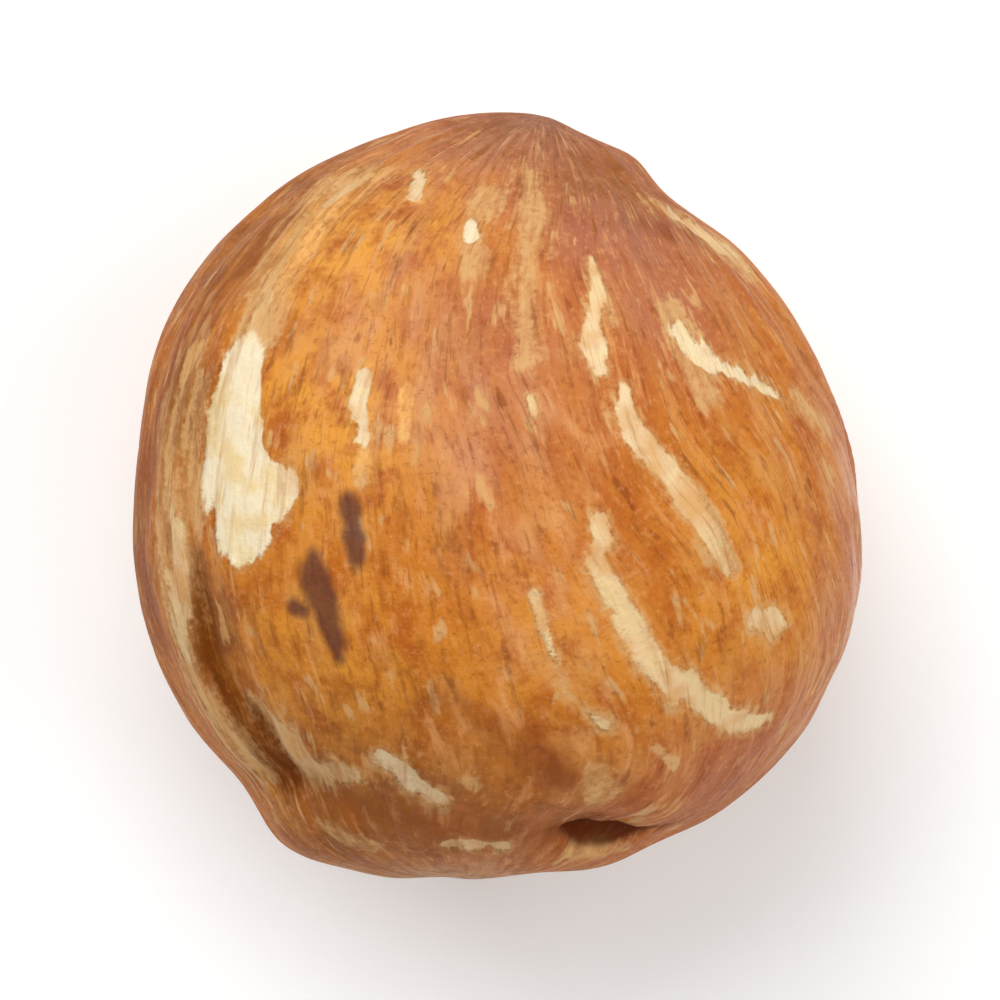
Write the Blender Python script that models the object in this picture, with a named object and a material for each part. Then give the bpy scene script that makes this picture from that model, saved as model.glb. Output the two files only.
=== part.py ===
"""A whole shelled hazelnut, lying on its side on a small flat spot.

The kernel is one solid. Its tip points to +Y, +Z is up, and the origin is at the middle of its underside.
A direction from its centre is given by two angles: the polar angle, 0 at the tip and 180 at the base,
and the turn round the axis, 0 at +X, 90 at +Z, 180 at -X and 270 at -Z.
"""

import math

import bmesh
import bpy
from mathutils import Vector, noise

MM = 0.001

# The kernel's outline on four sides, as (polar angle in degrees, millimetres from the centre).
# Right and left show from above, and top and under from the side. They meet at the tip and the base.
TIP_MM = 7.55
BASE_MM = 7.45
RIGHT = (
    (0, TIP_MM), (4, 7.40), (9, 7.26), (15.5, 7.10), (20.5, 6.72), (30, 6.66), (58, 6.68),
    (80, 6.92), (105, 7.25), (140, 7.37), (149, 7.24), (157, 7.37), (167, 7.22), (180, BASE_MM),
)
LEFT = (
    (0, TIP_MM), (8, 7.55), (22, 7.41), (50, 7.37), (72, 7.27), (90, 7.08), (112, 7.20),
    (138, 7.30), (146, 7.32), (155, 7.82), (162, 7.71), (171, 7.68), (180, BASE_MM),
)
TOP = (
    (0, TIP_MM), (8, 7.38), (20, 7.10), (40, 6.86), (65, 6.70), (90, 6.64),
    (115, 6.78), (138, 7.06), (147, 7.17), (156, 7.32), (168, 7.44), (180, BASE_MM),
)
UNDER = (
    (0, TIP_MM), (9, 7.30), (20, 6.96), (40, 6.76), (65, 6.62), (90, 6.56),
    (115, 6.68), (138, 6.96), (147, 7.05), (156, 7.27), (168, 7.42), (180, BASE_MM),
)

# How far below the centre the kernel is worn flat, where it rests.
REST_BELOW_CENTRE_MM = 6.48

# Gentle swellings all over. A grain is how many swells or wanders fit in the kernel's radius.
SWELL_MM = 0.13
SWELL_GRAIN = 1.6
SWELL_START = Vector((3.1, 0.4, 7.7))

# Low ribs from tip to base. They wander, vary in height and fade out over both ends.
RIBS = 21
RIB_MM = 0.07
RIB_MEAN_HEIGHT = 0.65
RIB_HEIGHT_CHANGE = 0.7
RIB_HEIGHT_GRAIN = 1.9
RIB_HEIGHT_START = Vector((5.0, 1.0, 2.0))
RIB_WANDER_DEG = 8.0
RIB_WANDER_GRAIN = 2.3
RIB_TIP_FADE_DEG = (12.0, 48.0)
RIB_BASE_FADE_DEG = (24.0, 53.0)

# Ribs lean towards the base's right on that side: most at one turn, and not at all a span away.
LEAN_DEG = 30.0
LEAN_TURN_DEG = 35.0
LEAN_SPAN_DEG = 80.0
LEAN_POLAR_DEG = (40.0, 130.0)

# The fold round the base's thick lip. Each pinch in it is (turn in degrees, extra depth in mm).
FOLD_DEG = 144.5
FOLD_WAVE_DEG = 2.5
FOLD_WAVE_TURN_DEG = 60.0
FOLD_WIDTH_DEG = 3.4
FOLD_MM = 0.05
PINCHES = ((50.0, 0.34), (140.0, 0.24), (262.0, 0.12))
PINCH_SPAN_DEG = 15.0

# Furrows along the kernel, as (first turn, last turn, first polar angle, last polar angle, mm deep, mm wide).
FURROWS = (
    (152.0, 138.0, 62.0, 146.0, 0.20, 0.42),
    (205.0, 212.0, 20.0, 118.0, 0.16, 0.75),
    (318.0, 326.0, 34.0, 140.0, 0.26, 0.90),
)
FURROW_END_DEG = 16.0

# Puckers that run into the tip.
PUCKERS = 7
PUCKER_MM = 0.07
PUCKER_SHIFT_DEG = 50.0
PUCKER_PEAK_DEG = 17.0
PUCKER_SPAN_DEG = 9.0

# The scar in the middle of the base: a shallow dish.
SCAR_DEG = 13.0
SCAR_MM = 0.16

# Facets: how many go round, and how far apart the rings are, closer together over the fold and the tip.
AROUND = 114
RING_STEP_DEG = 4.5
FINE_RING_STEP_DEG = 2.0
FOLD_RINGS_SPAN_DEG = 9.0
TIP_RINGS_DEG = (11.0, 23.0)

SKIN_COLOUR = (0.53, 0.21, 0.066, 1.0)
SKIN_ROUGHNESS = 0.45


def through(points, angle):
    """A smooth curve through (angle, value) points, level at its first and last point."""
    last = len(points) - 1
    k = 0
    while k < last - 1 and angle > points[k + 1][0]:
        k += 1
    (x0, y0), (x1, y1) = points[k], points[k + 1]
    slope0, slope1 = 0.0, 0.0
    if k > 0:
        slope0 = (y1 - points[k - 1][1]) / (x1 - points[k - 1][0])
    if k + 1 < last:
        slope1 = (points[k + 2][1] - y0) / (points[k + 2][0] - x0)
    step = x1 - x0
    t = (angle - x0) / step
    return (
        (2 * t**3 - 3 * t**2 + 1) * y0
        + (t**3 - 2 * t**2 + t) * step * slope0
        + (3 * t**2 - 2 * t**3) * y1
        + (t**3 - t**2) * step * slope1
    )


def bell(distance, width):
    """1 at distance 0, fading over width."""
    return math.exp(-((distance / width) ** 2))


def ramp(value, low, high):
    """0 below low, 1 above high and smooth between."""
    t = min(max((value - low) / (high - low), 0.0), 1.0)
    return t * t * (3 - 2 * t)


def turn_between(a, b):
    """The shorter way from turn b to turn a, in degrees."""
    return (a - b + 180.0) % 360.0 - 180.0


def direction(polar, turn):
    p, t = math.radians(polar), math.radians(turn)
    return Vector((math.sin(p) * math.cos(t), math.cos(p), math.sin(p) * math.sin(t)))


def body_mm(polar, turn):
    """The four outlines, each at full weight on its own side."""
    c, s = math.cos(math.radians(turn)), math.sin(math.radians(turn))
    side = RIGHT if c > 0 else LEFT
    face = TOP if s > 0 else UNDER
    return c * c * through(side, polar) + s * s * through(face, polar)


def swell_mm(way):
    return SWELL_MM * noise.noise(way * SWELL_GRAIN + SWELL_START)


def rib_line(polar, turn):
    """The turn, at the tip's end, of the rib that passes here."""
    away = min(abs(turn_between(turn, LEAN_TURN_DEG)) / LEAN_SPAN_DEG, 1.0)
    share = 0.5 * (1 + math.cos(math.pi * away))
    return turn + LEAN_DEG * share * ramp(polar, *LEAN_POLAR_DEG)


def rib_mm(polar, turn, way):
    fade = ramp(polar, *RIB_TIP_FADE_DEG) * ramp(180 - polar, *RIB_BASE_FADE_DEG)
    wander = RIB_WANDER_DEG * noise.noise(way * RIB_WANDER_GRAIN)
    height = RIB_MEAN_HEIGHT + RIB_HEIGHT_CHANGE * noise.noise(way * RIB_HEIGHT_GRAIN + RIB_HEIGHT_START)
    return RIB_MM * fade * height * math.cos(math.radians(RIBS * (rib_line(polar, turn) + wander)))


def fold_mm(polar, turn):
    """The fold's depth, deepest at the pinches."""
    middle = FOLD_DEG + FOLD_WAVE_DEG * math.sin(math.radians(2 * turn - FOLD_WAVE_TURN_DEG))
    depth = FOLD_MM
    for where, extra in PINCHES:
        depth += extra * bell(turn_between(turn, where), PINCH_SPAN_DEG)
    return depth * bell(polar - middle, FOLD_WIDTH_DEG)


def furrow_mm(polar, turn, radius_mm):
    depth = 0.0
    for tip_turn, base_turn, start, end, deep, wide in FURROWS:
        line = tip_turn + (base_turn - tip_turn) * ramp(polar, start, end)
        across = math.radians(turn_between(turn, line)) * radius_mm * math.sin(math.radians(polar))
        ends = ramp(polar, start, start + FURROW_END_DEG) * ramp(end - polar, 0.0, FURROW_END_DEG)
        depth += deep * ends * bell(across, wide)
    return depth


def pucker_mm(polar, turn):
    wave = math.cos(math.radians(PUCKERS * turn + PUCKER_SHIFT_DEG * math.sin(math.radians(turn))))
    return PUCKER_MM * wave * bell(polar - PUCKER_PEAK_DEG, PUCKER_SPAN_DEG)


def scar_mm(polar):
    return SCAR_MM * bell(180 - polar, SCAR_DEG)


def surface_point(polar, turn):
    way = direction(polar, turn)
    radius = body_mm(polar, turn) + swell_mm(way) + rib_mm(polar, turn, way) + pucker_mm(polar, turn)
    radius -= fold_mm(polar, turn) + furrow_mm(polar, turn, radius) + scar_mm(polar)
    return way * radius * MM


def ring_angles():
    """The rings' polar angles, from next to the tip to next to the base."""
    angles = []
    polar = RING_STEP_DEG
    while polar < 180.0 - 0.5 * RING_STEP_DEG:
        angles.append(polar)
        over_fold = abs(polar - FOLD_DEG) < FOLD_RINGS_SPAN_DEG
        over_tip = TIP_RINGS_DEG[0] < polar < TIP_RINGS_DEG[1]
        polar += FINE_RING_STEP_DEG if over_fold or over_tip else RING_STEP_DEG
    return angles


def kernel_mesh():
    """Rings of points from tip to base, joined by faces, with the underside worn flat."""
    bm = bmesh.new()
    tip = bm.verts.new(surface_point(0, 0))
    base = bm.verts.new(surface_point(180, 0))
    turns = [360.0 * j / AROUND for j in range(AROUND)]
    rings = [[bm.verts.new(surface_point(polar, turn)) for turn in turns] for polar in ring_angles()]
    for j in range(AROUND):
        k = (j + 1) % AROUND
        bm.faces.new((tip, rings[0][k], rings[0][j]))
        bm.faces.new((base, rings[-1][j], rings[-1][k]))
        for upper, lower in zip(rings, rings[1:]):
            bm.faces.new((upper[j], upper[k], lower[k], lower[j]))
    wear_flat(bm)
    bmesh.ops.recalc_face_normals(bm, faces=bm.faces)
    return bm


def wear_flat(bm):
    """Cuts the small flat spot that the kernel rests on."""
    floor = Vector((0.0, 0.0, -REST_BELOW_CENTRE_MM * MM))
    whole = bm.verts[:] + bm.edges[:] + bm.faces[:]
    cut = bmesh.ops.bisect_plane(bm, geom=whole, plane_co=floor, plane_no=(0, 0, -1), clear_outer=True)
    rim = [e for e in cut["geom_cut"] if isinstance(e, bmesh.types.BMEdge)]
    bmesh.ops.contextual_create(bm, geom=rim)


def stand_on_origin(mesh):
    """Moves the mesh so that the origin is under the middle of its box, at its lowest face."""
    lows = [min(v.co[i] for v in mesh.vertices) for i in range(3)]
    highs = [max(v.co[i] for v in mesh.vertices) for i in range(3)]
    for v in mesh.vertices:
        v.co.x -= (lows[0] + highs[0]) / 2
        v.co.y -= (lows[1] + highs[1]) / 2
        v.co.z -= lows[2]


def skin_material():
    material = bpy.data.materials.new("hazelnut_skin")
    material.use_nodes = True
    shader = material.node_tree.nodes["Principled BSDF"]
    shader.inputs["Base Color"].default_value = SKIN_COLOUR
    shader.inputs["Roughness"].default_value = SKIN_ROUGHNESS
    shader.inputs["Metallic"].default_value = 0.0
    return material


def build_kernel():
    bm = kernel_mesh()
    mesh = bpy.data.meshes.new("kernel")
    bm.to_mesh(mesh)
    bm.free()
    stand_on_origin(mesh)
    mesh.shade_smooth()
    mesh.materials.append(skin_material())
    kernel = bpy.data.objects.new("kernel", mesh)
    bpy.context.scene.collection.objects.link(kernel)


for old in list(bpy.data.objects):
    bpy.data.objects.remove(old)
build_kernel()
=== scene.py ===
"""The looks of a shelled hazelnut: papery skin, rubbed off in streaks, over cream flesh.

Lengths in the tables are millimetres in the kernel's own frame: x to the right and y to the tip, as seen
from above. Round the kernel a place is a polar angle, 0 at the tip and 180 at the base, and a turn, 0 at +X
and 90 on top. Angles are in degrees.
"""

import math
import random

import bpy
import numpy as np
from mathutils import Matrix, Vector, noise
from mathutils.bvhtree import BVHTree


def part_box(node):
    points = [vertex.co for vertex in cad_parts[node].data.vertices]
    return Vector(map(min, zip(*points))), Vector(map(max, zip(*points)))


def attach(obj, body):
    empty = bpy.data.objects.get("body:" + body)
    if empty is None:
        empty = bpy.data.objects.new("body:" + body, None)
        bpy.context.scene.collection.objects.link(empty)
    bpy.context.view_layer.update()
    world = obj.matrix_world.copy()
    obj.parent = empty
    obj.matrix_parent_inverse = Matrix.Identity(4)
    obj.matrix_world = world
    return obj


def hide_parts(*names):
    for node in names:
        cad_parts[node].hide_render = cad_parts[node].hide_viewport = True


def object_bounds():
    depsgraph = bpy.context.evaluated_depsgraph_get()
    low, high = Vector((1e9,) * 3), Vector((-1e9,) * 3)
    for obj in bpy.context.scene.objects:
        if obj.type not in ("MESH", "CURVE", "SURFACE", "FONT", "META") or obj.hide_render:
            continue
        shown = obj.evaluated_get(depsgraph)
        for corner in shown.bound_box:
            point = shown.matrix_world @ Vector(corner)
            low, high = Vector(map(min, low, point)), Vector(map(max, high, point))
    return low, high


MM = 0.001

# Points of the fine mesh: round the axis, and from tip to base.
AROUND = 400
ALONG = 220

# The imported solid's facets are smoothed away over this many points of the fine mesh.
SMOOTHING = 2.2

# A hollow is where the skin lies under its own average over this many points.
HOLLOW_SMOOTHING = 9.0

# Fibres run from tip to base. On the right they lean towards the base's right.
FIBRE_LEAN_DEG = 46.0
FIBRE_LEAN_TURN = 25.0
FIBRE_LEAN_SPAN = 120.0
FIBRE_LEAN_POLAR = (45.0, 140.0)
FIBRE_WANDER_DEG = 3.5
FIBRE_RADIUS_MM = 6.8

# Relief, in mm. Veins and wrinkles fade towards the tip and the base, over these polar angles.
VEIN_MM = 0.075
WRINKLE_MM = 0.022
WRINKLE_ON_FLESH = 0.4
LUMP_MM = 0.04
SKIN_MM = 0.045
CURL_MM = 0.02
CURL_WIDTH_MM = 0.09
CURL_FROM_EDGE_MM = 0.07
GROOVE_MM = 0.06
CREASE_MM = 0.16
TIP_FADE_POLAR = (4, 22)
BASE_FADE_POLAR = (14, 34)

# Where the relief, the flesh's cleanness and the painted shade of each mark start and are full, in mm into
# it.
SKIN_EDGE_MM = (-0.04, 0.05)
CLEAN_EDGE_MM = (-0.15, 0.05)
GROOVE_EDGE_MM = (-0.32, 0.12)
CREASE_EDGE_MM = (-0.20, 0.08)

# A streak on skin that slopes away is widened by up to the inverse of this.
LEAST_SEEN = 0.45

# The edges of a streak fray by its width, and by no more than they do at this half width.
FRAY_FULL_MM = 0.32

# How far edges fray on the mesh: in long tears along the fibres, and in fine ones. Bare flesh frays by
# this, and the other marks by these times as much.
TORN_LONG_MM = 0.16
TORN_FINE_MM = 0.06
TORN_TIMES = {"thin": 1.5, "stain": 1.1, "bruise_and_shade": 1.2, "groove": 0.5}

# A point with no streak near it counts as this far outside.
FAR_MM = 9.0

# Where the skin is worn: (share of its width rubbed right through, how clean the flesh is there,
# points (x, y, half width)). The widths are as they look from straight above.
STREAKS = {
    "left patch": (0.97, 1.0, (
        (-5.17, 2.33, 0.19), (-5.26, 1.90, 0.40), (-5.31, 1.26, 0.50), (-5.27, 0.74, 0.57),
        (-5.17, -0.05, 0.61), (-4.91, -0.76, 0.63), (-4.83, -1.10, 0.55))),
    "left patch, side": (0.9, 0.75, (
        (-4.78, 0.39, 0.25), (-4.41, 0.05, 0.29), (-4.14, -0.22, 0.32), (-4.31, -0.62, 0.34))),
    "upper left band": (0.15, 0.1, (
        (-3.12, 5.95, 0.15), (-3.66, 5.55, 0.25), (-4.32, 4.86, 0.27), (-4.67, 4.03, 0.36),
        (-4.86, 3.32, 0.40), (-5.01, 2.56, 0.38))),
    "upper left band, ends": (0.75, 0.3, ((-5.04, 2.43, 0.36), (-4.94, 2.91, 0.23), (-4.83, 3.43, 0.08))),
    "upper left band, top": (0.7, 0.4, ((-3.87, 5.34, 0.11), (-3.56, 5.64, 0.17), (-3.17, 5.90, 0.11))),
    "left ridge": (0.25, 0.0, (
        (-6.04, 2.28, 0.17), (-6.34, 1.75, 0.21), (-6.45, 1.13, 0.21), (-6.45, 0.39, 0.23),
        (-6.33, -0.55, 0.25), (-6.10, -1.27, 0.29))),
    "left ridge, inner side": (0.0, 0.0, (
        (-5.88, 1.51, 0.17), (-5.84, 0.56, 0.21), (-5.83, -0.49, 0.21), (-5.72, -1.01, 0.13))),
    "below the left ridge": (0.6, 0.45, (
        (-6.10, -1.27, 0.23), (-6.02, -1.79, 0.27), (-5.92, -2.41, 0.28), (-5.84, -2.93, 0.25),
        (-5.70, -3.44, 0.19))),
    "left rim, low": (0.35, 0.2, (
        (-5.70, -3.44, 0.21), (-5.44, -4.05, 0.21), (-4.97, -4.73, 0.23), (-4.42, -5.25, 0.21),
        (-3.92, -5.62, 0.17))),
    "left dash": (0.9, 0.7, ((-2.86, 2.06, 0.17), (-2.80, 1.40, 0.23), (-2.77, 0.88, 0.21))),
    "left dash, lower": (0.0, 0.0, ((-2.76, 0.81, 0.12), (-2.66, 0.10, 0.13))),
    "left dash, faint": (0.0, 0.0, ((-1.99, 1.85, 0.12), (-1.96, 0.98, 0.12))),
    "tip dash": (0.8, 0.6, ((-2.25, 6.00, 0.16), (-2.28, 5.57, 0.18))),
    "tip patch": (0.0, 0.0, ((-0.88, 5.82, 0.24), (-0.98, 5.40, 0.24))),
    "tip middle": (0.8, 0.9, ((-1.13, 5.16, 0.13), (-1.09, 4.90, 0.17))),
    "tip middle, lower": (0.0, 0.0, ((-1.09, 4.90, 0.18), (-0.98, 4.29, 0.22))),
    "tip shoulder": (0.6, 0.35, (
        (2.48, 5.88, 0.20), (3.18, 5.56, 0.34), (3.86, 5.26, 0.32), (4.10, 5.10, 0.20))),
    "centre streak": (0.0, 0.0, (
        (-0.02, 6.14, 0.20), (0.03, 5.25, 0.27), (0.02, 4.40, 0.29), (0.10, 3.67, 0.30),
        (0.24, 2.75, 0.30))),
    "below the centre streak": (0.7, 0.4, ((0.35, 1.98, 0.13), (0.44, 1.66, 0.14))),
    "right of centre": (0.7, 0.5, ((1.22, 4.75, 0.07), (1.37, 4.34, 0.15), (1.40, 3.60, 0.20))),
    "right of centre, end": (0.9, 0.6, ((1.41, 3.60, 0.20), (1.42, 3.15, 0.33), (1.62, 2.66, 0.16))),
    "right fork": (0.0, 0.0, ((2.76, 3.97, 0.20), (3.15, 3.38, 0.32), (3.65, 2.50, 0.26))),
    "right fork, side": (0.75, 0.7, (
        (3.00, 3.60, 0.16), (3.45, 3.18, 0.24), (4.04, 2.93, 0.22), (5.03, 2.62, 0.09))),
    "right edge": (0.0, 0.0, ((5.46, 2.55, 0.12), (6.05, 2.02, 0.16))),
    "right upper": (0.8, 0.6, ((2.10, 2.35, 0.14), (2.16, 2.00, 0.25), (2.40, 1.55, 0.28))),
    "right upper, middle": (0.75, 0.5, ((2.40, 1.55, 0.28), (3.06, 0.96, 0.30))),
    "right upper, lower": (0.7, 0.4, (
        (3.06, 0.96, 0.30), (3.61, 0.27, 0.32), (4.10, -0.34, 0.34), (4.42, -0.80, 0.22))),
    "right lower": (0.8, 0.48, (
        (1.94, -0.10, 0.15), (2.00, -0.95, 0.25), (2.62, -1.85, 0.30), (3.20, -2.70, 0.35),
        (3.64, -3.05, 0.34), (4.45, -3.46, 0.33), (5.00, -3.74, 0.28), (5.56, -3.60, 0.14))),
    "thin lower": (0.85, 0.45, ((0.83, -1.70, 0.12), (1.18, -2.50, 0.16), (1.40, -2.95, 0.11))),
    "thin lower, end": (0.0, 0.0, (
        (1.36, -2.86, 0.26), (1.62, -3.45, 0.24), (1.95, -3.70, 0.24), (2.45, -4.05, 0.24))),
    "thin lower, tip": (0.8, 0.4, ((2.18, -3.86, 0.12), (2.46, -4.06, 0.14))),
    "thin lower, fork": (0.0, 0.0, ((1.44, -3.20, 0.07), (1.46, -3.70, 0.08))),
    "right spot": (0.8, 0.5, ((5.08, -1.62, 0.26), (5.45, -1.80, 0.30))),
    "lower right dash": (0.0, 0.0, ((3.45, -4.35, 0.06), (3.85, -4.62, 0.10))),
    "base left": (0.75, 0.22, (
        (-3.98, -4.57, 0.22), (-3.45, -5.18, 0.30), (-2.90, -5.52, 0.30), (-2.28, -5.56, 0.18))),
    "base middle": (0.8, 0.72, ((-1.60, -5.14, 0.18), (-1.15, -5.42, 0.24), (-0.62, -5.78, 0.18))),
    "base right": (0.0, 0.0, ((2.30, -4.96, 0.20), (2.42, -5.42, 0.30))),
    "lip": (0.7, 0.5, ((-0.30, -6.67, 0.09), (0.20, -6.64, 0.12), (0.75, -6.60, 0.09))),
    "lip, right": (0.0, 0.0, ((2.20, -6.52, 0.09), (3.10, -6.36, 0.09))),
    "lip, left": (0.0, 0.0, ((-2.70, -6.55, 0.08), (-1.70, -6.85, 0.10))),
}

# Dark stains in the skin.
STAINS = {
    "lower left": (
        (-3.40, -1.50, 0.12), (-3.36, -1.75, 0.20), (-3.13, -2.30, 0.26), (-2.80, -3.00, 0.22),
        (-2.72, -3.28, 0.12)),
    "left": (
        (-2.84, -0.34, 0.10), (-2.76, -0.55, 0.15), (-2.68, -0.80, 0.07), (-2.62, -1.04, 0.15),
        (-2.53, -1.40, 0.08)),
    "left of the lower left": ((-3.66, -2.46, 0.07), (-3.45, -2.52, 0.09)),
}

# Red-brown bruises, softer than the stains. Along the left rim they are partly painted shade.
BRUISES_AND_SHADE = {
    "above the base": (
        (-0.70, -3.70, 0.12), (0.31, -4.24, 0.22), (1.12, -4.78, 0.30), (1.90, -5.15, 0.22)),
    "upper left rim": (
        (-6.66, 0.90, 0.20), (-6.46, 1.90, 0.22), (-5.89, 3.13, 0.24), (-5.30, 4.20, 0.22),
        (-4.60, 4.90, 0.14)),
    "left rim": ((-6.79, 0.20, 0.20), (-6.74, -1.13, 0.22), (-6.44, -2.67, 0.16)),
    "lip, middle": (
        (-2.60, -5.92, 0.14), (-1.90, -6.15, 0.24), (-0.95, -6.36, 0.26), (0.10, -6.22, 0.20),
        (1.60, -6.20, 0.20)),
    "under the tip shoulder": ((2.20, 5.58, 0.07), (2.65, 5.48, 0.12), (3.10, 5.44, 0.07)),
}

# Sunk lines, darkened with painted shade: soft grooves and sharp creases.
GROOVES = {
    "left furrow": (
        (-5.60, -1.74, 0.05), (-5.49, -2.41, 0.08), (-5.17, -3.71, 0.11), (-4.72, -4.32, 0.13),
        (-4.13, -4.93, 0.17), (-3.73, -5.39, 0.17), (-3.43, -5.77, 0.15)),
    "above the right crease": (
        (1.70, -6.14, 0.01), (2.40, -6.10, 0.05), (3.10, -6.02, 0.04), (3.80, -5.86, 0.01)),
}
CREASES = {
    "right": (
        (1.98, -6.20, 0.04), (2.30, -6.22, 0.12), (2.70, -6.20, 0.13), (3.10, -6.12, 0.08),
        (3.45, -6.03, 0.03)),
}

# Streaks on the sides that face away and down: a rule places them from this seed, between these turns.
HIDDEN_SEED = 11
HIDDEN_POLAR = (35, 120)
HIDDEN_TURNS = (192.0, 348.0)

# Each kind there: how many, their lengths in degrees and their half widths in mm.
HIDDEN_STREAKS = (30, (6, 34), (0.14, 0.42))
HIDDEN_STAINS = (5, (5, 12), (0.12, 0.26))
HIDDEN_SHARES = (0.0, 0.5, 0.7, 0.85)
HIDDEN_CLEAN = (0.2, 0.9)

# Each has this many points. It drifts by up to this turn for each degree of its length, and each point
# bends off it. Its width swells along part of a sine wave, over a least share, and wavers.
HIDDEN_POINTS = 5
HIDDEN_DRIFT = 0.35
HIDDEN_BEND_DEG = 1.5
HIDDEN_LEAST = 0.35
HIDDEN_WAVE_START = 0.12
HIDDEN_WAVE_SPAN = 0.8
HIDDEN_WAVER = (0.6, 1.1)

# Zones of colour: (polar angle, turn, reach, strength).
ZONES = {
    "gold": (
        (48, 128, 24, 1.0), (75, 118, 22, 1.0), (98, 40, 26, 0.55), (118, 120, 22, 0.6),
        (112, 78, 20, 0.5), (70, 30, 22, 0.35), (80, 230, 34, 0.7), (110, 300, 30, 0.6),
        (55, 320, 26, 0.5),
    ),
    "mauve": (
        (0, 0, 32, 1.0), (36, 66, 20, 0.95), (52, 60, 14, 0.8), (64, 95, 22, 0.6), (20, 250, 26, 0.5),
        (152, 75, 18, 0.25), (60, 270, 24, 0.4), (120, 210, 24, 0.4), (98, 6, 16, 0.8), (72, 2, 14, 0.5),
        (132, 25, 18, 0.7),
    ),
    # A pale pink veil on the skin, and painted sheen along the right rim.
    "bloom_and_sheen": (
        (96, 4, 14, 1.0), (84, 6, 12, 0.9), (118, 12, 10, 0.6), (80, 96, 14, 0.3), (104, 84, 12, 0.3),
        (20, 110, 14, 0.2), (60, 118, 12, 0.3), (156, 78, 10, 0.5), (100, 190, 16, 0.4),
        (60, 340, 14, 0.5), (130, 290, 16, 0.4), (110, 240, 12, 0.4),
    ),
    # Darker skin, and painted shade along the left rim.
    "deep_and_shade": (
        (150, 120, 24, 1.05), (116, 147, 9, 1.3), (82, 154, 9, 1.4), (148, 80, 18, 0.75),
        (57, 162, 10, 1.2), (100, 178, 28, 0.9), (90, 270, 30, 0.5), (140, 330, 30, 0.6),
        (48, 172, 24, 0.95), (12, 110, 12, 0.7), (22, 60, 14, 0.8), (140, 240, 26, 0.6),
    ),
}

# Noise on the mesh: (waves per mm on each axis, offset). On fibres the third axis runs from tip to base.
GRAINS = {
    "wander": ((0.35, 0.35, 0.35), (0.0, 0.0, 0.0)),
    "torn long": ((2.4, 2.4, 0.6), (0.0, 0.0, 0.0)),
    "torn fine": ((3.2, 3.2, 3.2), (9.0, 2.0, 5.0)),
    "vein": ((1.7, 1.7, 0.16), (4.0, 4.0, 1.0)),
    "wrinkle": ((4.6, 4.6, 0.5), (1.0, 7.0, 3.0)),
    "lump": ((0.9, 0.9, 0.9), (3.0, 3.0, 8.0)),
    "lift": ((0.8, 0.8, 0.8), (6.0, 1.0, 1.0)),
    "scar edge": ((0.9, 0.9, 0.9), (2.0, 5.0, 2.0)),
}
SCAR_EDGE_DEG = 4.5

# Noise in the material: (what it lies on, waves per mm on each axis, detail, roughness).
NOISES = {
    "fine": ("fibre", (4.2, 4.2, 0.9), 4.0, 0.6),
    "hair": ("fibre", (12.0, 12.0, 1.3), 2.0, 0.5),
    "tear": ("fibre", (3.2, 3.2, 1.0), 2.5, 0.5),
    "broad": ("fibre", (1.2, 1.2, 0.25), 3.0, 0.5),
    "flecks": ("fibre", (3.2, 3.2, 1.1), 2.0, 0.55),
    "blotch": ("fibre", (1.7, 1.7, 0.7), 3.0, 0.55),
    "thread": ("fibre", (5.0, 5.0, 0.5), 3.0, 0.6),
    "dust": ("place", (7.0, 7.0, 7.0), 3.0, 0.65),
    "mottle": ("place", (1.5, 1.5, 1.5), 4.0, 0.6),
    "ivory": ("place", (1.3, 1.3, 1.3), 3.0, 0.5),
    "scar": ("place", (3.4, 3.4, 3.4), 5.0, 0.7),
    "pores": ("place", (9.0, 9.0, 9.0), 3.0, 0.6),
}

# Shares of the noises that tear the edges of marks. Taking their middle off keeps the edges in place.
FRAY_SHARES = {"tear": 0.46, "fine": 0.10, "dust": 0.18}
FRAY_MIDDLE = 0.37

# Shares of the noises that let thin skin and soil show in grains.
GRAINY_SHARES = {"fine": 0.6, "dust": 0.4}

# The edge of each mark: (how much it frays, where it starts, where it is full). The scar's is in degrees
# from the tip, and the others are in mm into the mark.
EDGES = {
    "bare": (1.0, -0.03, 0.05),
    "worn": (1.6, -0.16, 0.14),
    "stain": (0.7, -0.16, 0.12),
    "bruise_and_shade": (1.0, -0.35, 0.25),
    "scar": (22.0, 160.0, 171.0),
}

# Colours as they look in even white light, in 8-bit sRGB, save for the painted sheen and shade marked
# below.
SKIN_ORANGE = (190, 110, 26)
SKIN_RUST = (172, 88, 20)
SKIN_GOLD = (224, 154, 54)
SKIN_MAUVE = (164, 100, 80)
# Pale pink veil, which along the right rim is painted sheen.
SKIN_BLOOM_AND_SHEEN = (210, 160, 132)
SKIN_BLOTCH = (208, 146, 74)
# Darker skin tone, which along the left rim is painted shade.
SKIN_DEEP_AND_SHADE = (120, 56, 8)
SKIN_LINE = (114, 50, 10)
SKIN_PALE_LINE = (210, 146, 88)
WORN_TAN = (202, 156, 100)
WORN_GOLD = (226, 168, 96)
# Red-brown, partly painted shade along the left rim.
BRUISE_AND_SHADE_RED = (124, 54, 20)
# Painted shade in the grooves.
GROOVE_SHADE_BROWN = (106, 50, 0)
# Painted shade: an olive tint over the darker zones.
SHADE_OLIVE = (146, 88, 20)
FLESH_TAN = (208, 160, 102)
FLESH_CREAM = (232, 218, 186)
FLESH_IVORY = (224, 198, 146)
FLESH_FIBRE = (182, 128, 70)
STAIN_PLUM = (84, 42, 36)
# Painted shade in the creases and hollows.
CREASE_SHADE_BROWN = (78, 26, 0)
SCAR_TAN = (186, 138, 92)
SCAR_BROWN = (122, 72, 40)
FLOOR_WHITE = (248, 248, 248)

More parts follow.
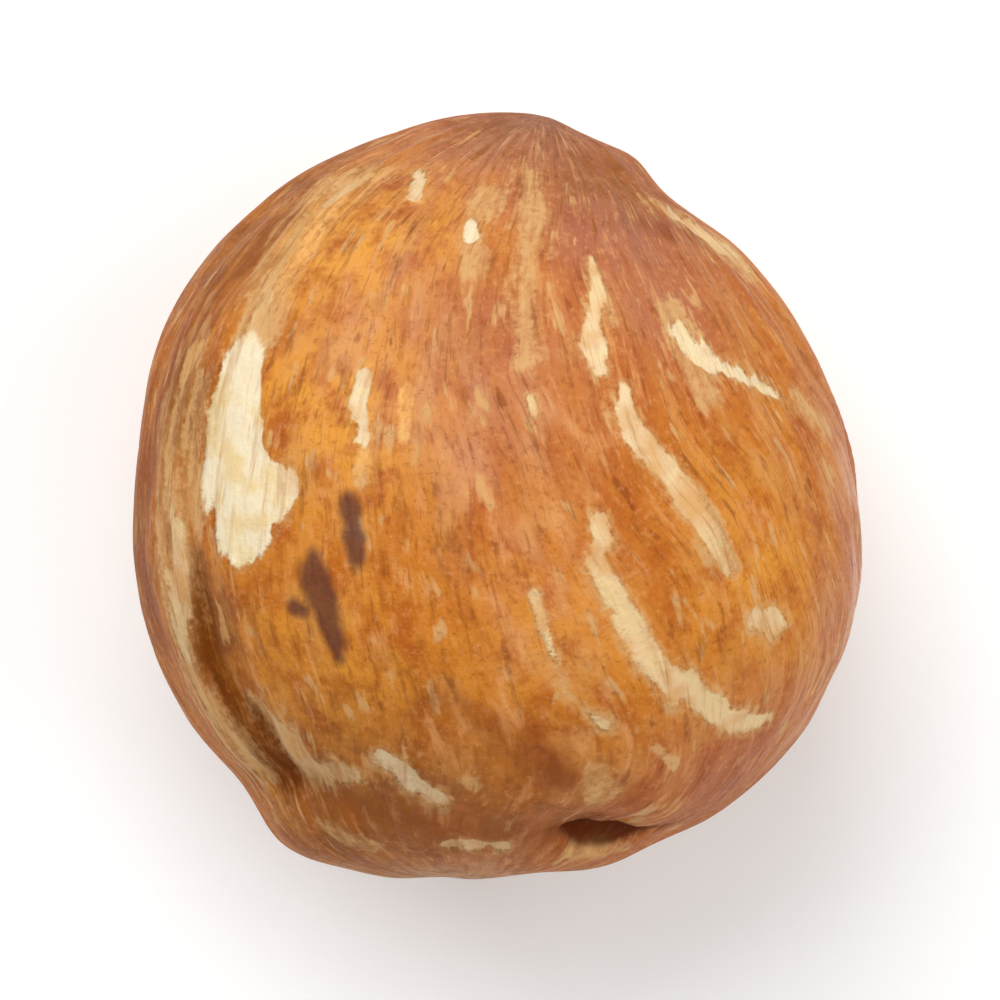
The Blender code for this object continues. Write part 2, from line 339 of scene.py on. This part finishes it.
# Layers of colour, from the lowest up: (mark or zone that each keeps to, noise that it follows, values of
# that noise where it is weakest and strongest, how strong it is at each, its colour).
SKIN_LAYERS = (
    (None, "broad", (0.36, 0.64), (0.0, 1.0), SKIN_RUST),
    ("gold", "mottle", (0.34, 0.60), (0.0, 1.0), SKIN_GOLD),
    (None, "blotch", (0.48, 0.66), (0.0, 0.5), SKIN_BLOTCH),
    ("mauve", "fine", (0.25, 0.60), (0.55, 1.0), SKIN_MAUVE),
    # Pale pink veil, and painted sheen along the right rim.
    ("bloom_and_sheen", "blotch", (0.40, 0.62), (0.15, 1.0), SKIN_BLOOM_AND_SHEEN),
    # Darker skin, and painted shade along the left rim.
    ("deep_and_shade", "mottle", (0.62, 0.36), (0.3, 1.0), SKIN_DEEP_AND_SHADE),
    (None, "fine", (0.54, 0.70), (0.0, 0.65), SKIN_PALE_LINE),
    (None, "flecks", (0.60, 0.70), (0.0, 0.8), WORN_TAN),
    (None, "flecks", (0.35, 0.27), (0.0, 0.5), SKIN_LINE),
    (None, "fine", (0.46, 0.30), (0.0, 0.4), SKIN_LINE),
    (None, "hair", (0.44, 0.30), (0.0, 0.35), SKIN_LINE),
    (None, "dust", (0.54, 0.68), (0.0, 0.35), SKIN_PALE_LINE),
    (None, "dust", (0.44, 0.30), (0.0, 0.35), SKIN_LINE),
)
BRUISE_AND_SHADE_LAYERS = (
    # Red-brown, partly painted shade along the left rim.
    ("bruise_and_shade", "fine", (0.60, 0.36), (0.35, 0.85), BRUISE_AND_SHADE_RED),
)
FLESH_LAYERS = (
    ("matted", "thread", (0.52, 0.70), (0.0, 1.0), FLESH_FIBRE),
    (None, "hair", (0.60, 0.74), (0.0, 0.35), FLESH_FIBRE),
)
SCAR_LAYERS = (
    (None, "scar", (0.42, 0.66), (0.0, 0.75), SCAR_BROWN),
)
# Painted shade: an olive tint over the darker zones, and brown in the grooves.
PAINTED_SHADE_LAYERS = (
    ("deep_and_shade", "grainy", (0.60, 0.36), (0.2, 0.62), SHADE_OLIVE),
    ("groove", "grainy", (0.64, 0.40), (0.5, 0.95), GROOVE_SHADE_BROWN),
)

# How strongly a mark covers what is under it.
STAIN_COVER = 0.83
SCAR_COVER = 0.85
# Strength of the painted shade in the creases and hollows.
CREASE_SHADE_COVER = 0.9

# Smooth steps of a value: (from, to), and then the strength at each where that isn't 0 and 1. Thin skin
# shows in grains and is gold in gold zones, flesh is ivory in a mottle, dusty places look less clean, clean
# flesh has fewer fibres, and painted shade darkens hollows some tenths of a mm in depth, and creases.
THIN_STEP = (0.40, 0.60, 0.40, 0.95)
THIN_GOLD_STEP = (0.55, 0.85)
IVORY_STEP = (0.40, 0.66)
DUSTY_STEP = (0.30, 0.70, -0.25, 0.25)
CLEAN_STEP = (0.15, 0.95)
MATTED_STEP = (0.0, 1.0, 0.9, 0.4)
HOLLOW_STEP = (0.10, 0.30, 0.0, 0.6)
CREASE_STEP = (0.10, 0.95)

# Gloss and depth of the skin. The bump's height is in mm, and so is the reach of light in the flesh.
ROUGH_STEP = (0.3, 0.7, 0.46, 0.66)
FLESH_SMOOTHER = 0.82
SPECULAR = 0.13
BUMP = 0.8
BUMP_MM = 0.09
BUMP_SHARES = {"fine": 1.2, "hair": 0.25, "pores": 0.4}
BUMP_STEP_MM = 0.10
BUMP_STEP = -0.7
GLOW = 0.12
GLOW_MM = 0.35
GLOW_COLOUR = (1.0, 0.55, 0.3)

# The table under the kernel.
FLOOR_MM = 2000.0
FLOOR_ROUGH = 0.9

# Square softboxes that face the kernel: (place in mm, width in mm, watts).
LIGHTS = {
    "key": ((-85, 130, 190), 220, 0.50),
    "fill": ((170, 20, 150), 200, 0.20),
    "front": ((40, -190, 150), 200, 0.05),
}

# The white room is this bright a little under the horizon, and straight above.
ROOM_FROM = -0.2
ROOM_LOW = 0.28
ROOM_HIGH = 0.64

# The camera looks straight down and is turned so that the tip leans to the right.
TIP_LEANS_DEG = 6.5
LENS_MM = 600.0
SENSOR_MM = 36.0
VIEW_WIDTH_MM = 19.4
CLIP_MM = (1.0, 10000.0)


def linear(colour):
    """An 8-bit sRGB colour as linear RGBA."""
    parts = [c / 255 for c in colour]
    return (*[c / 12.92 if c <= 0.04045 else ((c + 0.055) / 1.055) ** 2.4 for c in parts], 1.0)


def ramp(value, low, high):
    """0 below low, 1 above high and smooth between, on an array."""
    t = np.clip((value - low) / (high - low), 0.0, 1.0)
    return t * t * (3 - 2 * t)


def bell(value, width):
    return np.exp(-((value / width) ** 2))


def grain(points, name):
    """Blender's noise, about -1 to 1, at each row of points."""
    scale, start = GRAINS[name]
    moved = points * np.array(scale) + np.array(start)
    return np.array([noise.noise(Vector(p)) for p in moved])


def directions(polar, turn):
    """Unit vectors for arrays of polar angles and turns."""
    p, t = np.radians(polar), np.radians(turn)
    return np.stack([np.sin(p) * np.cos(t), np.cos(p), np.sin(p) * np.sin(t)], axis=-1)


class Surface:
    """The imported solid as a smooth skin: its centre, and its radius in every direction, in mm."""

    def __init__(self, solid):
        mesh = solid.data
        points = [v.co / MM for v in mesh.vertices]
        self.tree = BVHTree.FromPolygons(points, [tuple(p.vertices) for p in mesh.polygons])
        low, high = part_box("kernel")
        self.centre = Vector((low + high) / 2 / MM)
        self.top = high[2] / MM + 1.0

    def radius(self, way):
        """Distance from the centre to the skin along a unit vector."""
        return self.tree.ray_cast(self.centre, Vector(way))[3]

    def below(self, x, y):
        """The point of the skin straight under (x, y)."""
        return np.array(self.tree.ray_cast(Vector((x, y, self.top)), Vector((0, 0, -1)))[0])

    def at(self, polar, turn):
        way = Vector(directions(polar, turn))
        return np.array(self.centre + way * self.radius(way))


def smoothed(grid, width):
    """A Gaussian blur over a grid that closes on itself across, and mirrors past its first and last row."""
    reach = int(3 * width)
    weights = bell(np.arange(-reach, reach + 1), width * math.sqrt(2))
    weights /= weights.sum()
    across = sum(w * np.roll(grid, k - reach, axis=1) for k, w in enumerate(weights))
    opposite = np.roll(across, AROUND // 2, axis=1)
    tall = np.concatenate([opposite[reach:0:-1], across, opposite[-2 : -reach - 2 : -1]])
    rows = len(grid)
    return sum(w * tall[k : k + rows] for k, w in enumerate(weights))


def fibre_turn(polar, turn, wander):
    """The turn, near the tip, of the fibre that passes here."""
    away = np.minimum(np.abs((turn - FIBRE_LEAN_TURN + 180) % 360 - 180) / FIBRE_LEAN_SPAN, 1.0)
    lean = FIBRE_LEAN_DEG * 0.5 * (1 + np.cos(np.pi * away)) * ramp(polar, *FIBRE_LEAN_POLAR)
    return turn + lean + FIBRE_WANDER_DEG * wander


def fibre_places(polar, turn, places):
    """Each point among the fibres: on a circle across them, and a length along them, in mm."""
    home = np.radians(fibre_turn(polar, turn, grain(places, "wander")))
    run = np.radians(polar) * FIBRE_RADIUS_MM
    return np.stack([FIBRE_RADIUS_MM * np.cos(home), FIBRE_RADIUS_MM * np.sin(home), run], axis=-1)


def inside_by(points, streaks, share=1.0):
    """How far inside the nearest streak each point lies, in mm. It is negative outside."""
    best = np.full(len(points), -FAR_MM)
    for streak in streaks:
        for (a, wide_a), (b, wide_b) in zip(streak, streak[1:]):
            run = b - a
            t = np.clip((points - a) @ run / (run @ run), 0.0, 1.0)
            gap = np.linalg.norm(points - a - t[:, None] * run, axis=1)
            best = np.maximum(best, share * (wide_a + t * (wide_b - wide_a)) - gap)
    return best


def wear(points, streaks, torn):
    """How far inside the bare flesh and the thin skin each point lies, and how clean the flesh is."""
    bare = np.full(len(points), -FAR_MM)
    thin = np.full(len(points), -FAR_MM)
    clean = np.zeros(len(points))
    for share, cleanness, streak in streaks:
        narrow = max(1.0, FRAY_FULL_MM / max(wide for _, wide in streak))
        inside = narrow * inside_by(points, [streak])
        thin = np.maximum(thin, inside)
        if share > 0:
            bare = np.maximum(bare, narrow * inside_by(points, [streak], share))
            clean = np.maximum(clean, cleanness * ramp(inside, *CLEAN_EDGE_MM))
    return bare + torn, thin + TORN_TIMES["thin"] * torn, clean


def laid(surface, streak):
    """A streak's points on the skin, as wide there as they look from straight above."""
    spots = [surface.below(x, y) for x, y, _ in streak]
    made = []
    for k, (_, _, wide) in enumerate(streak):
        run = spots[min(k + 1, len(spots) - 1)] - spots[max(k - 1, 0)]
        across = np.cross(spots[k] - surface.centre, run)
        seen = abs(run[0] * across[1] - run[1] * across[0])
        seen /= np.linalg.norm(run[:2]) * np.linalg.norm(across)
        made.append((spots[k], wide / max(seen, LEAST_SEEN)))
    return made


def laid_all(surface, table):
    return [laid(surface, streak) for streak in table.values()]


def hidden(surface, rng, count, lengths, widths):
    """Streaks along the fibres of the sides that the camera doesn't see."""
    made = []
    for _ in range(count):
        polar, turn = rng.uniform(*HIDDEN_POLAR), rng.uniform(*HIDDEN_TURNS)
        length, wide = rng.uniform(*lengths), rng.uniform(*widths)
        drift = rng.uniform(-HIDDEN_DRIFT, HIDDEN_DRIFT)
        streak = []
        for k in range(HIDDEN_POINTS):
            s = k / (HIDDEN_POINTS - 1)
            wave = math.sin(math.pi * (HIDDEN_WAVE_START + HIDDEN_WAVE_SPAN * s))
            half_width = wide * (HIDDEN_LEAST + wave * rng.uniform(*HIDDEN_WAVER))
            bend = rng.uniform(-HIDDEN_BEND_DEG, HIDDEN_BEND_DEG)
            spot = surface.at(polar + length * s, turn + drift * length * s + bend)
            streak.append((spot, half_width))
        made.append(streak)
    return made


def all_streaks(surface, rng):
    """The streaks that the camera sees, and the hidden ones."""
    made = [(share, clean, laid(surface, streak)) for share, clean, streak in STREAKS.values()]
    for streak in hidden(surface, rng, *HIDDEN_STREAKS):
        made.append((rng.choice(HIDDEN_SHARES), rng.uniform(*HIDDEN_CLEAN), streak))
    return made


def markings(surface, places, fibre):
    """How far inside each kind of mark every point lies, in mm, or how full the mark is there, 0 to 1."""
    rng = random.Random(HIDDEN_SEED)
    torn = TORN_LONG_MM * grain(fibre, "torn long") + TORN_FINE_MM * grain(places, "torn fine")
    bare, worn, clean = wear(places, all_streaks(surface, rng), torn)
    stains = laid_all(surface, STAINS) + hidden(surface, rng, *HIDDEN_STAINS)
    grooves = inside_by(places, laid_all(surface, GROOVES))
    return {
        "bare": bare,
        "worn": worn,
        "clean": clean,
        "stain": inside_by(places, stains) + TORN_TIMES["stain"] * torn,
        "bruise_and_shade": inside_by(places, laid_all(surface, BRUISES_AND_SHADE)) + TORN_TIMES["bruise_and_shade"] * torn,
        "groove": ramp(grooves + TORN_TIMES["groove"] * torn, *GROOVE_EDGE_MM),
        "crease": ramp(inside_by(places, laid_all(surface, CREASES)), *CREASE_EDGE_MM),
    }


def relief(polar, places, fibre, marks):
    """How far each point stands out of the smooth solid, in mm."""
    skin = 1 - ramp(marks["bare"], *SKIN_EDGE_MM)
    ends = ramp(polar, *TIP_FADE_POLAR) * ramp(180 - polar, *BASE_FADE_POLAR)
    wrinkles = WRINKLE_ON_FLESH + (1 - WRINKLE_ON_FLESH) * skin
    height = VEIN_MM * ends * grain(fibre, "vein")
    height += WRINKLE_MM * ends * wrinkles * grain(fibre, "wrinkle")
    height += LUMP_MM * grain(places, "lump")
    height += SKIN_MM * skin
    lifted = 0.5 + grain(places, "lift")
    height += CURL_MM * lifted * bell(marks["bare"] + CURL_FROM_EDGE_MM, CURL_WIDTH_MM)
    return height - GROOVE_MM * marks["groove"] - CREASE_MM * marks["crease"]


def zone_weights(ways, zones):
    """The strongest of the zones in each direction."""
    best = np.zeros(len(ways))
    for polar, turn, reach, strength in zones:
        angle = np.degrees(np.arccos(np.clip(ways @ directions(polar, turn), -1, 1)))
        best = np.maximum(best, strength * bell(angle, reach))
    return best


def kernel_mesh(surface):
    """The fine mesh and its fields. Each field is one number or vector for each point."""
    polar_rows = 180.0 * np.arange(ALONG + 1) / ALONG
    turn_columns = 360.0 * np.arange(AROUND) / AROUND
    polar, turn = np.meshgrid(polar_rows, turn_columns, indexing="ij")
    ways = directions(polar, turn)
    radius = np.array([[surface.radius(way) for way in row] for row in ways])
    radius = smoothed(radius, SMOOTHING)
    hollow = smoothed(radius, HOLLOW_SMOOTHING) - radius

    polar, turn, ways = polar.ravel(), turn.ravel(), ways.reshape(-1, 3)
    radius, hollow = radius.ravel(), hollow.ravel()
    places = np.array(surface.centre) + ways * radius[:, None]
    fibre = fibre_places(polar, turn, places)
    marks = markings(surface, places, fibre)
    points = places + ways * relief(polar, places, fibre, marks)[:, None]
    points[:, 2] = np.maximum(points[:, 2], 0.0)

    zones = {name: zone_weights(ways, rows) for name, rows in ZONES.items()}
    scar = polar + SCAR_EDGE_DEG * grain(places, "scar edge")
    return points, {**marks, **zones, "hollow": hollow, "scar": scar, "fibre": fibre}


def kept_points(values):
    """Leaves one point at each pole: the first row's first, the rings between, and the last row's first."""
    return np.concatenate([values[:1], values[AROUND : AROUND * ALONG], values[AROUND * ALONG :][:1]])


def kernel_faces():
    """Triangles at the tip and the base, and four-sided faces between."""
    tip, base = 0, 1 + AROUND * (ALONG - 1)
    last = base - AROUND
    faces = []
    for j in range(AROUND):
        k = (j + 1) % AROUND
        faces.append((tip, 1 + k, 1 + j))
        for i in range(ALONG - 2):
            ring = 1 + AROUND * i
            faces.append((ring + j, ring + k, ring + AROUND + k, ring + AROUND + j))
        faces.append((base, last + j, last + k))
    return faces


def build_kernel(surface):
    points, fields = kernel_mesh(surface)
    mesh = bpy.data.meshes.new("kernel_skin")
    mesh.from_pydata((kept_points(points) * MM).tolist(), [], kernel_faces())
    for name, values in fields.items():
        values = kept_points(values)
        kind, key = ("FLOAT_VECTOR", "vector") if values.ndim > 1 else ("FLOAT", "value")
        attribute = mesh.attributes.new(name, kind, "POINT")
        attribute.data.foreach_set(key, values.astype(np.float32).ravel())
    mesh.flip_normals()
    mesh.shade_smooth()
    kernel = bpy.data.objects.new("kernel_skin", mesh)
    bpy.context.scene.collection.objects.link(kernel)
    mesh.materials.append(skin_material())
    return kernel


def node(tree, kind, inputs=None, **settings):
    """A new node. An input that is a socket is linked, and any other is set."""
    made = tree.nodes.new(kind)
    for name, value in settings.items():
        setattr(made, name, value)
    for key, value in (inputs or {}).items():
        if isinstance(value, bpy.types.NodeSocket):
            tree.links.new(value, made.inputs[key])
        else:
            made.inputs[key].default_value = value
    return made


def field(tree, name, output="Fac"):
    return node(tree, "ShaderNodeAttribute", attribute_name=name).outputs[output]


def scaled(tree, vector, scale):
    inputs = {0: vector, 1: scale}
    return node(tree, "ShaderNodeVectorMath", inputs, operation="MULTIPLY").outputs[0]


def between(tree, value, low, high, to_low=0.0, to_high=1.0):
    """A smooth step from low to high."""
    inputs = {"Value": value, "From Min": low, "From Max": high, "To Min": to_low, "To Max": to_high}
    return node(tree, "ShaderNodeMapRange", inputs, interpolation_type="SMOOTHSTEP").outputs["Result"]


def maths(tree, operation, a, b):
    return node(tree, "ShaderNodeMath", {0: a, 1: b}, operation=operation).outputs[0]


def plus(tree, a, b):
    return maths(tree, "ADD", a, b)


def times(tree, a, b):
    return maths(tree, "MULTIPLY", a, b)


def mixed(tree, noises, shares):
    """The sum of several noises, each times its share."""
    total = 0.0
    for name, share in shares.items():
        total = plus(tree, times(tree, noises[name], share), total)
    return total


def blend(tree, factor, a, b):
    """Colour a where factor is 0, and b where it is 1."""
    inputs = {0: factor, 6: a, 7: b}
    return node(tree, "ShaderNodeMix", inputs, data_type="RGBA").outputs[2]


def layered(tree, noises, masks, colour, layers):
    """A colour under layers, from the lowest up."""
    for mask, name, (low, high), (weak, strong), tone in layers:
        factor = between(tree, noises[name], low, high, weak, strong)
        if mask:
            factor = times(tree, masks[mask], factor)
        colour = blend(tree, factor, colour, linear(tone))
    return colour


def all_noises(tree):
    """Every noise of the material, by name."""
    object_place = node(tree, "ShaderNodeTexCoord").outputs["Object"]
    bases = {
        "fibre": field(tree, "fibre", "Vector"),
        "place": scaled(tree, object_place, (1 / MM, 1 / MM, 1 / MM)),
    }
    made = {}
    for name, (base, scale, detail, roughness) in NOISES.items():
        vector = scaled(tree, bases[base], scale)
        inputs = {"Vector": vector, "Scale": 1.0, "Detail": detail, "Roughness": roughness}
        made[name] = node(tree, "ShaderNodeTexNoise", inputs).outputs["Fac"]
    made["grainy"] = mixed(tree, made, GRAINY_SHARES)
    return made


def wear_masks(tree, noises):
    """Where each mark and zone shows, 0 to 1, and the step down into bare flesh."""
    fray = plus(tree, mixed(tree, noises, FRAY_SHARES), -FRAY_MIDDLE)
    masks = {}
    for name, (much, start, full) in EDGES.items():
        depth = plus(tree, field(tree, name), times(tree, fray, much))
        masks[name] = between(tree, depth, start, full)
        if name == "bare":
            masks["step"] = between(tree, depth, -BUMP_STEP_MM, BUMP_STEP_MM, 0.0, BUMP_STEP)
    for name in ("gold", "mauve", "bloom_and_sheen", "deep_and_shade", "groove"):
        masks[name] = field(tree, name)
    # Painted shade goes in hollows and in creases.
    hollow = between(tree, field(tree, "hollow"), *HOLLOW_STEP)
    masks["crease"] = maths(tree, "MAXIMUM", hollow, between(tree, field(tree, "crease"), *CREASE_STEP))
    dusty = between(tree, noises["ivory"], *DUSTY_STEP)
    masks["clean"] = between(tree, plus(tree, field(tree, "clean"), dusty), *CLEAN_STEP)
    masks["matted"] = between(tree, masks["clean"], *MATTED_STEP)
    return masks


def skin_colour(tree, noises, masks):
    """Orange to rust papery skin with lines along its fibres, tan or gold where it is worn thin."""
    # These layers hold painted sheen on the right rim and painted shade along the left rim.
    whole = layered(tree, noises, masks, linear(SKIN_ORANGE), SKIN_LAYERS)
    gold = between(tree, masks["gold"], *THIN_GOLD_STEP)
    thin = blend(tree, gold, linear(WORN_TAN), linear(WORN_GOLD))
    thinned = times(tree, masks["worn"], between(tree, noises["grainy"], *THIN_STEP))
    # Red-brown bruises, partly painted shade along the left rim.
    return layered(tree, noises, masks, blend(tree, thinned, whole, thin), BRUISE_AND_SHADE_LAYERS)


def flesh_colour(tree, noises, masks):
    """Waxy flesh, cream where it is clean, with an ivory mottle and the odd brown fibre."""
    ivory = between(tree, noises["ivory"], *IVORY_STEP)
    cream = blend(tree, ivory, linear(FLESH_CREAM), linear(FLESH_IVORY))
    colour = blend(tree, masks["clean"], linear(FLESH_TAN), cream)
    return layered(tree, noises, masks, colour, FLESH_LAYERS)


def kernel_colour(tree, noises, masks):
    """Skin, bare flesh over it, then painted shade in the darker zones and grooves, stains, the scar and
    painted shade in the creases and hollows.
    """
    skin = skin_colour(tree, noises, masks)
    colour = blend(tree, masks["bare"], skin, flesh_colour(tree, noises, masks))
    # Painted shade: olive over the darker zones, brown in the grooves.
    colour = layered(tree, noises, masks, colour, PAINTED_SHADE_LAYERS)
    colour = blend(tree, times(tree, masks["stain"], STAIN_COVER), colour, linear(STAIN_PLUM))
    scar = layered(tree, noises, masks, linear(SCAR_TAN), SCAR_LAYERS)
    colour = blend(tree, times(tree, masks["scar"], SCAR_COVER), colour, scar)
    # Painted shade in the creases and hollows.
    return blend(tree, times(tree, masks["crease"], CREASE_SHADE_COVER), colour, linear(CREASE_SHADE_BROWN))


def kernel_roughness(tree, noises, masks):
    """Satin skin, smoother flesh, and dull grooves, creases and hollows."""
    gloss = between(tree, noises["pores"], *ROUGH_STEP)
    roughness = times(tree, gloss, between(tree, masks["bare"], 0.0, 1.0, 1.0, FLESH_SMOOTHER))
    sunk_places = maths(tree, "MAXIMUM", masks["crease"], masks["groove"])
    return maths(tree, "MAXIMUM", roughness, sunk_places)


def kernel_normal(tree, noises, masks):
    """Fibres and pores, and the edge of the skin round bare flesh."""
    height = plus(tree, mixed(tree, noises, BUMP_SHARES), masks["step"])
    inputs = {"Strength": BUMP, "Distance": BUMP_MM * MM, "Height": height}
    return node(tree, "ShaderNodeBump", inputs).outputs["Normal"]


def skin_material():
    material = bpy.data.materials.new("hazelnut_skin")
    material.use_nodes = True
    tree = material.node_tree
    shader = tree.nodes["Principled BSDF"]
    noises = all_noises(tree)
    masks = wear_masks(tree, noises)
    tree.links.new(kernel_colour(tree, noises, masks), shader.inputs["Base Color"])
    tree.links.new(kernel_roughness(tree, noises, masks), shader.inputs["Roughness"])
    tree.links.new(kernel_normal(tree, noises, masks), shader.inputs["Normal"])
    shader.inputs["Specular IOR Level"].default_value = SPECULAR
    shader.inputs["Subsurface Weight"].default_value = GLOW
    shader.inputs["Subsurface Scale"].default_value = GLOW_MM * MM
    shader.inputs["Subsurface Radius"].default_value = GLOW_COLOUR
    return material


def floor():
    """A plain white table under the kernel."""
    material = bpy.data.materials.new("floor_white")
    material.use_nodes = True
    shader = material.node_tree.nodes["Principled BSDF"]
    shader.inputs["Base Color"].default_value = linear(FLOOR_WHITE)
    shader.inputs["Roughness"].default_value = FLOOR_ROUGH
    bpy.ops.mesh.primitive_plane_add(size=FLOOR_MM * MM)
    table = bpy.context.object
    table.name = "floor"
    table.data.materials.append(material)


def soft_light(name, place_mm, size_mm, watts):
    """A square softbox that faces the kernel."""
    lamp = bpy.data.lights.new(name, "AREA")
    lamp.size = size_mm * MM
    lamp.energy = watts
    light = bpy.data.objects.new(name, lamp)
    light.location = Vector(place_mm) * MM
    light.rotation_euler = (-light.location).to_track_quat("-Z", "Y").to_euler()
    bpy.context.scene.collection.objects.link(light)


def studio():
    """Even white light from all round, with a little more from the picture's top left."""
    for name, light in LIGHTS.items():
        soft_light(name, *light)
    room = bpy.data.worlds.new("studio")
    room.use_nodes = True
    tree = room.node_tree
    background = tree.nodes["Background"]
    background.inputs["Color"].default_value = (1.0, 1.0, 1.0, 1.0)
    way = node(tree, "ShaderNodeTexCoord").outputs["Generated"]
    height = node(tree, "ShaderNodeSeparateXYZ", {0: way}).outputs["Z"]
    bright = between(tree, height, ROOM_FROM, 1.0, ROOM_LOW, ROOM_HIGH)
    tree.links.new(bright, background.inputs["Strength"])
    bpy.context.scene.world = room
    bpy.context.scene.view_settings.view_transform = "Standard"


def camera(height_mm):
    """Straight down on the kernel, like the photograph."""
    lens = bpy.data.cameras.new("camera")
    lens.lens = LENS_MM
    lens.sensor_width = SENSOR_MM
    lens.clip_start, lens.clip_end = (reach * MM for reach in CLIP_MM)
    view = bpy.data.objects.new("camera", lens)
    away = VIEW_WIDTH_MM * LENS_MM / SENSOR_MM
    view.location = (0.0, 0.0, (height_mm / 2 + away) * MM)
    view.rotation_euler = (0.0, 0.0, math.radians(TIP_LEANS_DEG))
    bpy.context.scene.collection.objects.link(view)
    bpy.context.scene.camera = view


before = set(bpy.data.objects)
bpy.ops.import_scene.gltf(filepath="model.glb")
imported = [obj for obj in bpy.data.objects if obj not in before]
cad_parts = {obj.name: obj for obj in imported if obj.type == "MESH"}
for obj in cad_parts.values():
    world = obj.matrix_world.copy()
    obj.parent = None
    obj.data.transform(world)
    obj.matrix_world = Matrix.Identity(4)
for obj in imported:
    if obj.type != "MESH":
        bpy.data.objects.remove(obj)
cad_box = [list(corner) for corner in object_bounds()]

kernel = build_kernel(Surface(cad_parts["kernel"]))
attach(kernel, "root")
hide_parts("kernel")

floor()
studio()
camera(cad_box[1][2] / MM)
